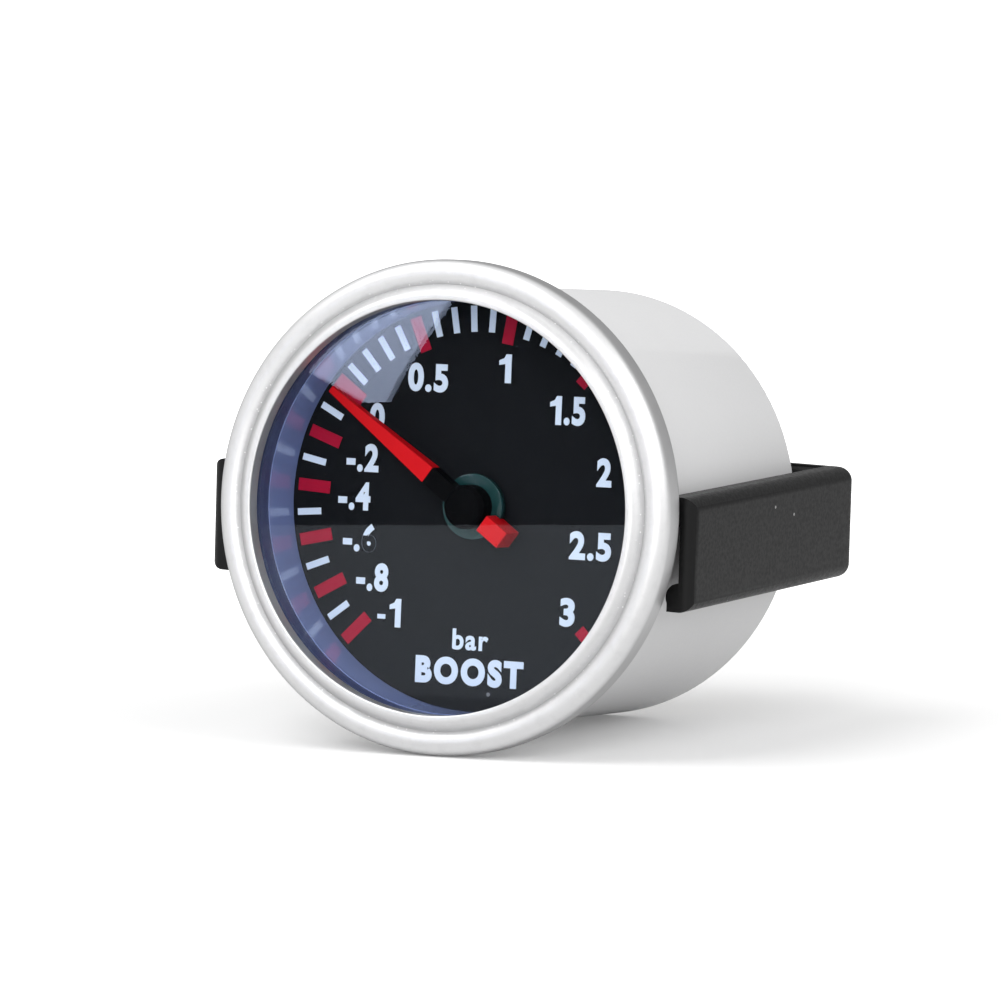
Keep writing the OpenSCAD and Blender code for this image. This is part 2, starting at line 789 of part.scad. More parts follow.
// Socket block: carries the movement and the tube, and leads the pressure to it
module socket_block() {
    color([0.78, 0.62, 0.3]) difference() {
        union() {
            rod([0, 0], movement_back, block_r, rear_y - movement_back);
            rotate([0, -tube_start, 0]) {
                translate([0, block_arm_y, -block_arm_w / 2])
                    cube([tube_r + post_w / 2, block_arm_t, block_arm_w]);
                translate([post_r, post_y, 0]) cube([post_w, block_arm_y + block_arm_t - post_y, post_len / 2]);
                translate([post_r, block_arm_y, -block_arm_w / 2]) cube([post_w, block_arm_t, block_arm_w]);
            }
        }
        rod([0, 0], rear_y - shank_l, shank_r + seat_gap / 2, shank_l + overrun);
        rod([0, 0], duct_y, duct_r, rear_y - duct_y);
        rod([0, 0], movement_back - overrun, arbor_r + seat_gap, 2 * overrun);
        for (s = [-1, 1])
            rod([s * block_screw_x, 0], movement_back - overrun, screw_r + seat_gap, screw_l + overrun);
        rotate([0, -tube_start, 0]) {
            translate([0, duct_y, 0]) rotate([0, 90, 0]) cylinder(r = duct_r, h = tube_r);
            translate([tube_r, duct_y, post_len / 4]) rotate([90, 0, 0]) cylinder(r = duct_r, h = duct_y - tube_y);
            translate([tube_r, tube_y, -overrun]) cylinder(r = duct_r / 2, h = post_len / 4 + overrun);
        }
    }
}

// Inlet: a threaded shank, a hexagon and a plain hose nipple

module inlet_fitting() {
    color([0.8, 0.65, 0.3]) difference() {
        union() {
            rod([0, 0], rear_y - shank_l, shank_r, shank_l + case_wall + washer_seal_t);
            translate([0, hex_y, 0]) rotate([-90, 0, 0])
                cylinder(r = inlet_hex / (2 * cos(30)), h = inlet_hex_t, $fn = 6);
            rod([0, 0], stem_y, shank_r, stem_l);
            nosed_rod([0, 0], nipple_y, nipple_r, nipple_end - nipple_y, nipple_chamfer);
        }
        rod([0, 0], rear_y - shank_l - overrun, nipple_bore_r, nipple_end - rear_y + shank_l + 2 * overrun);
    }
}

module inlet_washer() {
    color([0.1, 0.1, 0.1]) difference() {
        rod([0, 0], case_depth, washer_seal_r, washer_seal_t);
        rod([0, 0], case_depth - overrun, shank_r + seat_gap, washer_seal_t + 2 * overrun);
    }
}

module damper_plug() {
    color([0.75, 0.76, 0.78]) difference() {
        rod([0, 0], hex_y, nipple_bore_r - seat_gap / 2, damper_l);
        rod([0, 0], hex_y - overrun, damper_bore_r, damper_l + 2 * overrun);
    }
}

// Mounting

module mounting_studs() {
    color([0.78, 0.79, 0.8]) for (s = [-1, 1]) {
        rod([s * stud_x, 0], rear_y - stud_head_t, stud_head_r, stud_head_t);
        nosed_rod([s * stud_x, 0], rear_y, stud_r, case_wall + stud_l, stud_chamfer);
    }
}

// Leg section, seen along the leg: the outer wall on +X, flanges above and below
module channel_section(depth) {
    h = bracket_h / 2;
    translate([-bracket_web, -h + bracket_edge_r]) square([bracket_web, bracket_h - 2 * bracket_edge_r]);
    for (s = [-1, 1]) mirror([0, s < 0 ? 1 : 0]) {
        translate([-bracket_edge_r, h - bracket_edge_r]) circle(r = bracket_edge_r);
        translate([-depth, h - bracket_rim]) square([depth - bracket_edge_r, bracket_rim]);
        translate([-bracket_web, h - bracket_rim]) square([bracket_web, bracket_rim - bracket_edge_r]);
    }
}

// What the rounding takes off the outer corner of a leg's end, seen from above
module leg_end_corner() {
    translate([bracket_half_w - leg_end_r, -bracket_l + leg_end_r, -bracket_h])
        linear_extrude(2 * bracket_h) difference() {
            translate([0, -leg_end_r - overrun]) square(leg_end_r + overrun);
            circle(r = leg_end_r);
        }
}

// The bracket is a U of channel section: two legs, a rear strip and turned corners
module bracket_body() {
    half = bracket_half_w - bracket_corner_r;
    for (s = [0, 1]) mirror([s, 0, 0]) {
        translate([bracket_half_w, -bracket_corner_r, 0]) rotate([90, 0, 0])
            linear_extrude(bracket_l - bracket_corner_r) channel_section(leg_depth);
        translate([half, -bracket_corner_r, 0]) rotate_extrude(angle = 90) intersection() {
            translate([bracket_corner_r, 0]) channel_section(leg_depth);
            translate([0, -bracket_h]) square([bracket_half_w, 2 * bracket_h]);
        }
    }
    translate([-half, 0, 0]) rotate([90, 0, 90]) linear_extrude(2 * half) channel_section(strip_depth);
}

module bracket() {
    color([0.1, 0.1, 0.1]) translate(bracket_rear) rotate(bracket_turn) difference() {
        bracket_body();
        translate([0, overrun, 0]) rotate([90, 0, 0]) cylinder(r = bracket_port_r, h = bracket_l);
        translate([0, -bracket_web, 0]) rotate([90, 0, 0]) cylinder(r = bracket_pocket_r, h = bracket_l);
        for (s = [-1, 1])
            translate([s * stud_x, overrun, 0]) rotate([90, 0, 0]) cylinder(r = bracket_hole_r, h = bracket_l);
        for (s = [0, 1]) mirror([s, 0, 0]) leg_end_corner();
    }
}

// Depth of the washer on the stud at x, just clear of the swung bracket
function washer_y(x) = bracket_y - x * tan(bracket_swing) + washer_tilt + nut_gap;

module washer_at(x) {
    color([0.75, 0.76, 0.78]) difference() {
        rod([x, 0], washer_y(x), washer_r, washer_t);
        rod([x, 0], washer_y(x) - overrun, stud_r + run_gap, washer_t + 2 * overrun);
    }
}

module nut_at(x) {
    color([0.78, 0.79, 0.8]) difference() {
        intersection() {
            translate([x, washer_y(x) + washer_t, 0]) rotate([-90, 0, 0])
                cylinder(r = nut_hex / (2 * cos(30)), h = nut_t, $fn = 6);
            translate([x, washer_y(x) + washer_t, 0]) rotate([-90, 0, 0])
                cylinder(r1 = nut_hex / 2 + nut_t, r2 = nut_hex / 2, h = nut_t);
        }
        rod([x, 0], washer_y(x), stud_r + run_gap, nut_t + washer_t + overrun);
    }
}

module washer_left() { washer_at(-stud_x); }
module washer_right() { washer_at(stud_x); }
module nut_left() { nut_at(-stud_x); }
module nut_right() { nut_at(stud_x); }

// Lamp: a twist-in holder and a wedge bulb behind the dial

module lamp_holder() {
    color([0.12, 0.12, 0.12]) difference() {
        union() {
            rod([0, lamp_z], rear_y - lamp_in, lamp_r, lamp_in + case_wall);
            rod([0, lamp_z], case_depth, lamp_flange_r, lamp_flange_t);
            rod([0, lamp_z], case_depth + lamp_flange_t, lamp_tail_r, lamp_tail_l);
            translate([-lamp_grip_w / 2, case_depth + lamp_flange_t, lamp_z - lamp_grip_t / 2])
                cube([lamp_grip_w, lamp_tail_l, lamp_grip_t]);
        }
        translate([-bulb_base_w / 2 - seat_gap, rear_y - lamp_in - overrun, lamp_z - bulb_base_t / 2 - seat_gap])
            cube([bulb_base_w + 2 * seat_gap, bulb_base_l + overrun, bulb_base_t + 2 * seat_gap]);
        for (s = [-1, 1])
            rod([s * lamp_wire_x, lamp_z], case_depth, lamp_wire_r, lamp_flange_t + lamp_tail_l + overrun);
    }
}

module lamp_bulb() {
    glass_y = rear_y - lamp_in - bulb_l;
    color([0.95, 0.95, 0.9, 0.5]) difference() {
        union() {
            rod([0, lamp_z], glass_y + bulb_r, bulb_r, bulb_l - bulb_r);
            translate([0, glass_y + bulb_r, lamp_z]) sphere(r = bulb_r);
            translate([-bulb_base_w / 2, rear_y - lamp_in - bulb_pinch_l, lamp_z - bulb_base_t / 2])
                cube([bulb_base_w, bulb_base_l + bulb_pinch_l, bulb_base_t]);
        }
        rod([0, lamp_z], glass_y + bulb_r, bulb_r - bulb_wall, bulb_l - bulb_r - bulb_pinch_l);
    }
}

module lamp_filament() {
    color([0.6, 0.6, 0.62])
        translate([-filament_w / 2, rear_y - lamp_in - bulb_l / 2, lamp_z - filament_t / 2])
            cube([filament_w, bulb_l / 2 - bulb_pinch_l, filament_t]);
}

case_shell();
bezel();
lens();
lens_gasket();
shroud_ring();
dial_plate();
scale_minor_marks();
scale_major_marks();
light_chamber();
pointer_hub();
pointer_blade();
pointer_tail();
pointer_light_guide();
pinion_arbor();
hairspring_collet();
hairspring();
hairspring_stud();
movement_front_plate();
movement_back_plate();
movement_pillars();
plate_screws();
block_screws();
sector_gear();
sector_arbor();
sector_link_pin();
link();
tube_tip();
bourdon_tube();
socket_block();
inlet_fitting();
inlet_washer();
damper_plug();
mounting_studs();
bracket();
nut_left();
nut_right();
washer_left();
washer_right();
lamp_holder();
lamp_bulb();
lamp_filament();
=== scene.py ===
"""Panel boost gauge: finishes, printed numerals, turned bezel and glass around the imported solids."""

import math

import bmesh
import bpy
from bpy.props import FloatProperty, FloatVectorProperty, PointerProperty
from mathutils import Matrix, Quaternion, Vector


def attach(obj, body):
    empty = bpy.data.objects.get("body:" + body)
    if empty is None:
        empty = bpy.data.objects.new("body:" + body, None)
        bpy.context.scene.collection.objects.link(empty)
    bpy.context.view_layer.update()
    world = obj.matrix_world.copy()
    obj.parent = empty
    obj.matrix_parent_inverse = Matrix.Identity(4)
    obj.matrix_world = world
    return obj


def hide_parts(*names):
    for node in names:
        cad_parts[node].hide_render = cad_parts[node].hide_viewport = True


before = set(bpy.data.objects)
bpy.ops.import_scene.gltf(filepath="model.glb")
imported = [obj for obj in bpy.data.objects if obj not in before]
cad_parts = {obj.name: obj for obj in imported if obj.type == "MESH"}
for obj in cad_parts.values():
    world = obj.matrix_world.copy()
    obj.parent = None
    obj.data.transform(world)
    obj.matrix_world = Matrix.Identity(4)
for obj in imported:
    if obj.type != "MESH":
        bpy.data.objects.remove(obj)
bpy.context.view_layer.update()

bl_info = {
    "name": "Panel Boost Gauge",
    "version": (1, 0, 0),
    "blender": (4, 5, 0),
    "location": "View3D > Sidebar > Gauge",
    "description": "Builds the looks of a panel boost gauge around its solids",
    "category": "Object",
}

MM = 0.001

# Vertices closer than this become one: in the new pieces, and in the CAD nodes
MERGE = 0.0005 * MM
WELD = 0.002 * MM

# A CAD node stays sharp where its faces meet at more than this
EDGE_ANGLE = math.radians(32.0)

# Printed words of the dial: text, centre x and z, width and height, in millimetres
LABELS = (
    ("0.5", -7.1, 14.9, 5.25, 3.4),
    ("1", 2.9, 16.4, 1.6, 3.4),
    ("0", -13.6, 9.9, 1.98, 3.4),
    ("-.2", -15.3, 5.0, 4.24, 3.4),
    ("-.4", -16.2, 0.4, 4.25, 3.4),
    ("-.6", -15.3, -4.5, 4.38, 3.4),
    ("-.8", -13.4, -9.1, 4.24, 3.4),
    ("-", -12.0, -13.7, 1.05, 0.55),
    ("1", -10.2, -13.2, 1.5, 3.4),
    ("1", 9.65, 11.8, 1.5, 3.4),
    (".5", 12.1, 11.8, 2.75, 3.4),
    ("2", 16.2, 4.8, 1.92, 3.4),
    ("2.5", 14.8, -3.9, 5.39, 3.4),
    ("3", 12.2, -11.8, 1.93, 3.4),
    ("bar", -0.2, -15.8, 4.7, 2.5),
    ("BOOST", -0.2, -19.6, 14.1, 3.3),
)

# How much a word's strokes are thickened, in shares of the font's size, and how far its letters
# stand apart, against the font's own spacing
PLAIN_STROKE = (0.045, 1.14)
STROKES = {"BOOST": (0.06, 1.26), "bar": (0.028, 1.15)}

# Outline of the figure one, in shares of its width and height
FIGURE_ONE = (
    (0.0, 0.62), (0.0, 0.78), (0.4, 0.86), (0.56, 1.0), (1.0, 1.0), (1.0, 0.0), (0.5, 0.0), (0.5, 0.66),
)

# Camera fitted to the photograph: places in metres, roll in degrees, lens and sensor in millimetres
CAMERA_PLACE = (0.33227, -0.70045, 0.02957)
CAMERA_TARGET = (-0.00541, 0.02419, 0.00013)
CAMERA_ROLL = 2.34
CAMERA_LENS = 238.25
CAMERA_SENSOR = 36.0
CAMERA_CLIP = (0.01, 20.0)

# Strength of the white world, as light and as what the camera and mirrors see
WORLD_LIGHT, WORLD_SEEN = 0.72, 1.0

# The floor touches the tilted gauge from below: a point of it, its normal, half its width and its grey
FLOOR_POINT = (0.0, -0.0031, -0.02905)
FLOOR_NORMAL = (-0.0136, -0.067, 0.9977)
FLOOR_HALF = 25.0
FLOOR_GREY = 0.8

# The floor's glow for the camera rises with the distance from the gauge: distances, then strengths
GLOW_NEAR, GLOW_FAR = 0.06, 0.30
GLOW_LOW, GLOW_HIGH = 0.16, 0.9

# Square soft lamps: name, place and size in metres, power in watts
LAMPS = (
    ("key_lamp", (-0.35, -0.45, 0.75), 0.6, 3.6),
    ("fill_lamp", (0.75, -0.2, 0.45), 0.6, 1.6),
    ("front_lamp", (0.30, -1.1, 0.35), 0.4, 4.6),
)

# Cards that only mirrors see: name, colour, y, strength below and above, outline in x and z in metres
CARDS = (
    ("dark_card", (1.0, 1.0, 1.0), -0.5, 0.02, 0.02,
     ((-0.300, -0.0280), (-0.180, -0.0214), (-0.180, 0.050), (-0.300, 0.050))),
    ("grey_card", (1.0, 1.0, 1.0), 0.9, 0.46, 0.46,
     ((-0.9, -0.25), (2.2, -0.25), (2.2, 1.5), (-0.9, 1.5))),
    ("softbox_card", (0.74, 0.80, 1.0), -0.499, 10.0, 13.5,
     ((-0.2371, 0.0193), (-0.2419, 0.0123), (-0.2460, 0.0061), (-0.2495, -0.0005), (-0.2546, -0.0009),
      (-0.2700, 0.0060), (-0.2900, 0.0200), (-0.2700, 0.0480), (-0.2330, 0.0480))),
)

# Heights between which a card's strength rises
CARD_RISE = (-0.001, 0.022)


def length(name, description, default):
    """A size in metres that the panel shows with its unit."""
    return FloatProperty(
        name=name, description=description, default=default, min=0.0,
        precision=5, subtype="DISTANCE", unit="LENGTH",
    )


def colour(name, description, default):
    """A linear colour that the panel shows as a swatch."""
    return FloatVectorProperty(
        name=name, description=description, default=default, size=3,
        min=0.0, max=1.0, subtype="COLOR",
    )


class GaugeSizes(bpy.types.PropertyGroup):
    """Sizes of the pieces that are modelled here."""

    bezel_r: length("Bezel radius", "Outer radius of the bezel", 29.0 * MM)
    lip_r: length("Lip radius", "Radius of the opening inside the lip", 24.2 * MM)
    lip_front: length("Lip front", "Height of the lip before the bezel's rear face", 5.5 * MM)
    lip_t: length("Lip thickness", "Thickness of the lip before the glass", 1.9 * MM)
    bead_r: length("Bead radius", "Radius of the bezel's outer bead", 1.65 * MM)
    bead_y: length("Bead height", "Height of the bead's centre before the rear face", 3.1 * MM)
    valley_r: length("Valley radius", "Radius of the valley inside the bead", 26.1 * MM)
    bezel_wall: length("Bezel wall", "Wall of the rolled metal", 1.0 * MM)
    roll_t: length("Roll thickness", "Thickness of the rear roll", 0.9 * MM)
    roll_in_r: length("Roll radius", "Inner radius of the rear roll", 25.45 * MM)
    lens_r: length("Glass radius", "Radius of the glass", 27.9 * MM)
    lens_front: length("Glass front", "Height of the glass before the rear face", 3.6 * MM)
    lens_t: length("Glass thickness", "Thickness of the glass", 1.5 * MM)
    dial_y: length("Dial depth", "Depth of the dial behind the rear face", 6.6 * MM)
    print_t: length("Print thickness", "Thickness of the printed words", 0.06 * MM)


class GaugeColours(bpy.types.PropertyGroup):
    """Linear colours of the gauge's finishes."""

    case: colour("Case", "Matt paint of the case", (0.69, 0.69, 0.695))
    bezel: colour("Bezel", "Turned aluminium of the bezel", (0.73, 0.73, 0.735))
    shroud: colour("Shroud", "Plastic ring in front of the dial", (0.19, 0.25, 0.50))
    dial: colour("Dial", "Black print of the dial", (0.0065, 0.0075, 0.0095))
    pale: colour("Pale print", "Words and short marks", (0.66, 0.78, 0.94))
    red: colour("Red print", "Long marks", (0.38, 0.003, 0.03))
    pointer: colour("Pointer", "Blade and tail of the pointer", (0.56, 0.001, 0.006))
    bracket: colour("Bracket", "Moulded bracket", (0.0040, 0.0040, 0.0042))


def sizes():
    """The sizes that the scene keeps."""
    return bpy.context.scene.gauge_sizes


def colours():
    """The colours that the scene keeps."""
    return bpy.context.scene.gauge_colours


# Shader nodes; a noise or speck scale counts its features per metre

def new_group(name, inputs, outputs):
    """An empty shader node group with float or colour sockets."""
    group = bpy.data.node_groups.new(name, "ShaderNodeTree")
    for label, kind, default in inputs:
        socket = group.interface.new_socket(name=label, in_out="INPUT", socket_type=kind)
        socket.default_value = default
    for label, kind in outputs:
        group.interface.new_socket(name=label, in_out="OUTPUT", socket_type=kind)
    return group, group.nodes.new("NodeGroupInput"), group.nodes.new("NodeGroupOutput")


def math_node(tree, operation, a, b=None, clamp=False):
    """A Math node fed by sockets or numbers, and its result."""
    node = tree.nodes.new("ShaderNodeMath")
    node.operation = operation
    node.use_clamp = clamp
    for i, value in enumerate((a, b)):
        if value is None:
            continue
        if isinstance(value, (int, float)):
            node.inputs[i].default_value = value
        else:
            tree.links.new(value, node.inputs[i])
    return node.outputs[0]


def axis_radius(tree, coordinates):
    """Distance of each point from the gauge's axis, and its depth along it."""
    split = tree.nodes.new("ShaderNodeSeparateXYZ")
    tree.links.new(coordinates, split.inputs[0])
    across = math_node(tree, "MULTIPLY", split.outputs["X"], split.outputs["X"])
    upward = math_node(tree, "MULTIPLY", split.outputs["Z"], split.outputs["Z"])
    return math_node(tree, "SQRT", math_node(tree, "ADD", across, upward)), split.outputs["Y"]


def ramp(tree, value, low, high, out_low=0.0, out_high=1.0, smooth=True):
    """A clamped Map Range of a value."""
    node = tree.nodes.new("ShaderNodeMapRange")
    node.interpolation_type = "SMOOTHSTEP" if smooth else "LINEAR"
    for label, number in (("From Min", low), ("From Max", high), ("To Min", out_low), ("To Max", out_high)):
        node.inputs[label].default_value = number
    tree.links.new(value, node.inputs["Value"])
    return node.outputs["Result"]


def noise(tree, vector, scale, detail=2.0, rough=0.5):
    """A Noise Texture's value on a vector."""
    node = tree.nodes.new("ShaderNodeTexNoise")
    node.inputs["Detail"].default_value = detail
    node.inputs["Roughness"].default_value = rough
    if isinstance(scale, (int, float)):
        node.inputs["Scale"].default_value = scale
    else:
        tree.links.new(scale, node.inputs["Scale"])
    tree.links.new(vector, node.inputs["Vector"])
    return node.outputs["Fac"]


def turned_group():
    """Fine rings that turning leaves around the axis, broken up a little."""
    group, given, result = new_group(
        "turned_rings",
        [("Rings", "NodeSocketFloat", 4000.0), ("Breaks", "NodeSocketFloat", 60.0)],
        [("Value", "NodeSocketFloat")],
    )
    place = group.nodes.new("ShaderNodeTexCoord").outputs["Object"]
    radius, depth = axis_radius(group, place)
    rings = group.nodes.new("ShaderNodeCombineXYZ")
    group.links.new(math_node(group, "MULTIPLY", radius, given.outputs["Rings"]), rings.inputs["X"])
    group.links.new(math_node(group, "MULTIPLY", depth, given.outputs["Rings"]), rings.inputs["Y"])
    fine = noise(group, rings.outputs[0], 1.0, 3.0, 0.6)
    broken = noise(group, place, given.outputs["Breaks"], 2.0)
    mixed = math_node(group, "MULTIPLY", fine, math_node(group, "ADD", broken, 0.5))
    group.links.new(mixed, result.inputs["Value"])
    return group


def grain_group():
    """Fine moulding or paint grain with slow variation."""
    group, given, result = new_group(
        "surface_grain",
        [("Scale", "NodeSocketFloat", 3000.0)],
        [("Grain", "NodeSocketFloat"), ("Cloud", "NodeSocketFloat")],
    )
    place = group.nodes.new("ShaderNodeTexCoord").outputs["Object"]
    group.links.new(noise(group, place, given.outputs["Scale"], 3.0, 0.6), result.inputs["Grain"])
    slow = math_node(group, "MULTIPLY", given.outputs["Scale"], 0.03)
    group.links.new(noise(group, place, slow, 2.0), result.inputs["Cloud"])
    return group


def specks_group():
    """Small separate specks: dust, pits and nicks."""
    group, given, result = new_group(
        "specks",
        [("Scale", "NodeSocketFloat", 900.0), ("Share", "NodeSocketFloat", 0.06),
         ("Size", "NodeSocketFloat", 0.12)],
        [("Mask", "NodeSocketFloat")],
    )
    place = group.nodes.new("ShaderNodeTexCoord").outputs["Object"]
    cells = group.nodes.new("ShaderNodeTexVoronoi")
    group.links.new(place, cells.inputs["Vector"])
    group.links.new(given.outputs["Scale"], cells.inputs["Scale"])
    split = group.nodes.new("ShaderNodeSeparateColor")
    group.links.new(cells.outputs["Color"], split.inputs[0])
    chosen = math_node(group, "LESS_THAN", split.outputs[0], given.outputs["Share"])
    near = math_node(group, "LESS_THAN", cells.outputs["Distance"], given.outputs["Size"])
    group.links.new(math_node(group, "MULTIPLY", chosen, near), result.inputs["Mask"])
    return group


GROUP_MAKERS = {"turned_rings": turned_group, "surface_grain": grain_group, "specks": specks_group}
GROUPS = {}


def effect(material, name, **values):
    """Places a shared node group in a material, and makes it when it is first asked for."""
    if name not in GROUPS:
        GROUPS[name] = GROUP_MAKERS[name]()
    node = material.node_tree.nodes.new("ShaderNodeGroup")
    node.node_tree = GROUPS[name]
    for label, value in values.items():
        node.inputs[label].default_value = value
    return node


def blank_material(name):
    """A material with its Principled shader."""
    material = bpy.data.materials.new(name)
    material.use_nodes = True
    return material, material.node_tree, material.node_tree.nodes["Principled BSDF"]


def mixed_colour(tree, mask, first, second):
    """A colour between two, by a mask."""
    node = tree.nodes.new("ShaderNodeMix")
    node.data_type = "RGBA"
    for socket, value in ((node.inputs[6], first), (node.inputs[7], second)):
        if isinstance(value, bpy.types.NodeSocket):
            tree.links.new(value, socket)
        else:
            socket.default_value = (*value, 1.0)
    tree.links.new(mask, node.inputs[0])
    return node.outputs[2]


def mixed_shader(tree, mask, first, second):
    """Shows one of two shaders on the surface, by a mask."""
    mix = tree.nodes.new("ShaderNodeMixShader")
    tree.links.new(mask, mix.inputs[0])
    tree.links.new(first, mix.inputs[1])
    tree.links.new(second, mix.inputs[2])
    tree.links.new(mix.outputs[0], tree.nodes["Material Output"].inputs["Surface"])


def bump(tree, shader, height, strength, distance):
    """Feeds a height through a Bump node."""
    node = tree.nodes.new("ShaderNodeBump")
    node.inputs["Strength"].default_value = strength
    node.inputs["Distance"].default_value = distance
    tree.links.new(height, node.inputs["Height"])
    tree.links.new(node.outputs["Normal"], shader.inputs["Normal"])


def shade(colour_value, factor):
    """A colour made lighter or darker."""
    return tuple(min(1.0, c * factor) for c in colour_value)


def grained(name, base, roughness, scale=3000.0, spread=0.06, vary=0.06, height=0.01 * MM, dust=0.0,
            dust_colour=(0.5, 0.5, 0.5), dust_scale=900.0, coat=0.0, metallic=0.0, gloss=0.5):
    """Paint, plastic, rubber or print: grain in colour, roughness and relief, and dust."""
    material, tree, shader = blank_material(name)
    grain = effect(material, "surface_grain", Scale=scale)
    colour_out = mixed_colour(tree, grain.outputs["Cloud"], shade(base, 1 - vary), shade(base, 1 + vary))
    if dust:
        specks = effect(material, "specks", Scale=dust_scale, Share=dust, Size=0.16)
        colour_out = mixed_colour(tree, specks.outputs["Mask"], colour_out, dust_colour)
    tree.links.new(colour_out, shader.inputs["Base Color"])
    rough = ramp(tree, grain.outputs["Grain"], 0.3, 0.7, roughness - spread, roughness + spread)
    tree.links.new(rough, shader.inputs["Roughness"])
    shader.inputs["Specular IOR Level"].default_value = gloss
    shader.inputs["Coat Weight"].default_value = coat
    shader.inputs["Coat Roughness"].default_value = 0.1
    shader.inputs["Metallic"].default_value = metallic
    bump(tree, shader, grain.outputs["Grain"], 0.4, height)
    return material


def turned_metal(name, base, roughness, rings=4000.0):
    """Turned or drawn metal with rings around the axis."""
    material, tree, shader = blank_material(name)
    turned = effect(material, "turned_rings", Rings=rings, Breaks=80.0).outputs["Value"]
    tree.links.new(mixed_colour(tree, turned, shade(base, 0.88), shade(base, 1.06)),
                   shader.inputs["Base Color"])
    spread = 0.1
    tree.links.new(ramp(tree, turned, 0.2, 0.8, roughness - spread, roughness + spread),
                   shader.inputs["Roughness"])
    shader.inputs["Metallic"].default_value = 1.0
    bump(tree, shader, turned, 0.3, 0.004 * MM)
    return material


def bezel_metal():
    """Satin aluminium: turned rings, faint smudges, a rougher pitted valley painted darker as shade, and
    painted shade at the edges that turn away.
    """
    base = colours().bezel[:]
    material, tree, shader = blank_material("bezel_aluminium")
    turned = effect(material, "turned_rings", Rings=5200.0, Breaks=120.0).outputs["Value"]
    pits = effect(material, "specks", Scale=2600.0, Share=0.22, Size=0.24).outputs["Mask"]
    place = tree.nodes.new("ShaderNodeTexCoord").outputs["Object"]
    radius, depth = axis_radius(tree, place)

    # The valley's mask: near its radius, with an uneven border, and in front only
    wobble = noise(tree, place, 260.0, 4.0, 0.7)
    off = math_node(tree, "ABSOLUTE", math_node(tree, "SUBTRACT", radius, sizes().valley_r))
    off = math_node(tree, "ADD", off, math_node(tree, "MULTIPLY", wobble, -0.7 * MM))
    front = ramp(tree, depth, -3.6 * MM, -4.0 * MM)
    valley = math_node(tree, "MULTIPLY", ramp(tree, off, 0.35 * MM, -0.25 * MM), front, clamp=True)

    # Colour: smudged metal, painted shade in the valley, bright in the pits, painted shade where the
    # surface turns away from the camera
    smudge = ramp(tree, noise(tree, place, 700.0, 4.0, 0.65), 0.45, 0.7)
    metal = mixed_colour(tree, smudge, base, shade(base, 0.955))
    # Painted shade: the valley's colour is pulled towards a darker grey, as if shade fell in the recess
    valley_painted_shade = mixed_colour(tree, math_node(tree, "MULTIPLY", valley, 0.85), metal, (0.64, 0.64, 0.645))
    pitted = math_node(tree, "MULTIPLY", math_node(tree, "MULTIPLY", pits, valley), 0.8)
    pitted_colour = mixed_colour(tree, pitted, valley_painted_shade, (0.95, 0.95, 0.95))
    # Painted shade: the colour darkens to grey where the surface turns away from the camera, standing in
    # for its darker reflections
    facing = tree.nodes.new("ShaderNodeLayerWeight")
    facing.inputs["Blend"].default_value = 0.3
    edge_painted_shade = ramp(tree, facing.outputs["Facing"], 0.15, 0.75)
    tree.links.new(mixed_colour(tree, edge_painted_shade, pitted_colour, (0.47, 0.47, 0.475)),
                   shader.inputs["Base Color"])

    # Roughness follows the rings and rises in the valley; the relief has the rings and the pits
    rough = ramp(tree, turned, 0.2, 0.8, 0.36, 0.50)
    rough = math_node(tree, "ADD", rough, math_node(tree, "MULTIPLY", valley, 0.36))
    tree.links.new(rough, shader.inputs["Roughness"])
    shader.inputs["Metallic"].default_value = 1.0
    height = math_node(tree, "SUBTRACT", turned, math_node(tree, "MULTIPLY", pitted, 1.5))
    bump(tree, shader, height, 0.25, 0.006 * MM)
    return material


def clear_glass(name, tint, ior):
    """Clear glass with faint cloudy spots, which lets lamp light through to what it covers."""
    material, tree, shader = blank_material(name)
    shader.inputs["Base Color"].default_value = (*tint, 1.0)
    shader.inputs["Transmission Weight"].default_value = 1.0
    shader.inputs["Metallic"].default_value = 0.0
    shader.inputs["IOR"].default_value = ior
    shader.inputs["Specular Tint"].default_value = (0.84, 0.91, 1.0, 1.0)
    grain = effect(material, "surface_grain", Scale=400.0)
    tree.links.new(ramp(tree, grain.outputs["Cloud"], 0.3, 0.7, 0.0, 0.012), shader.inputs["Roughness"])
    path = tree.nodes.new("ShaderNodeLightPath")
    through = math_node(tree, "MAXIMUM", path.outputs["Is Shadow Ray"], path.outputs["Is Diffuse Ray"])
    clear = tree.nodes.new("ShaderNodeBsdfTransparent")
    mixed_shader(tree, through, shader.outputs[0], clear.outputs[0])
    return material


# Pieces

def dressed(node, material, bevel=0.0):
    """Gives a CAD node its material, welded and smooth between its sharp or rounded edges."""
    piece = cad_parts[node]
    piece.data.materials.clear()
    piece.data.materials.append(material)
    piece.data.polygons.foreach_set("use_smooth", [True] * len(piece.data.polygons))
    weld = piece.modifiers.new("weld", "WELD")
    weld.merge_threshold = WELD
    if bevel:
        edge = piece.modifiers.new("edge", "BEVEL")
        edge.width = bevel
        edge.segments = 2
        edge.limit_method = "ANGLE"
        edge.angle_limit = EDGE_ANGLE
        edge.use_clamp_overlap = True
        even = piece.modifiers.new("even", "WEIGHTED_NORMAL")
        even.keep_sharp = True
    else:
        split = piece.modifiers.new("split", "EDGE_SPLIT")
        split.split_angle = EDGE_ANGLE


def finished(name, mesh_maker, material, body, replaced=(), sharp=40.0):
    """Makes a new piece from a bmesh, gives it its finish and lets it ride on its body."""
    mesh = bpy.data.meshes.new(name)
    shape = bmesh.new()
    mesh_maker(shape)
    bmesh.ops.remove_doubles(shape, verts=shape.verts, dist=MERGE)
    bmesh.ops.recalc_face_normals(shape, faces=shape.faces)
    shape.to_mesh(mesh)
    shape.free()
    mesh.shade_smooth()
    mesh.set_sharp_from_angle(angle=math.radians(sharp))
    mesh.materials.append(material)
    piece = bpy.data.objects.new(name, mesh)
    bpy.context.scene.collection.objects.link(piece)
    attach(piece, body)
    if replaced:
        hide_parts(*replaced)


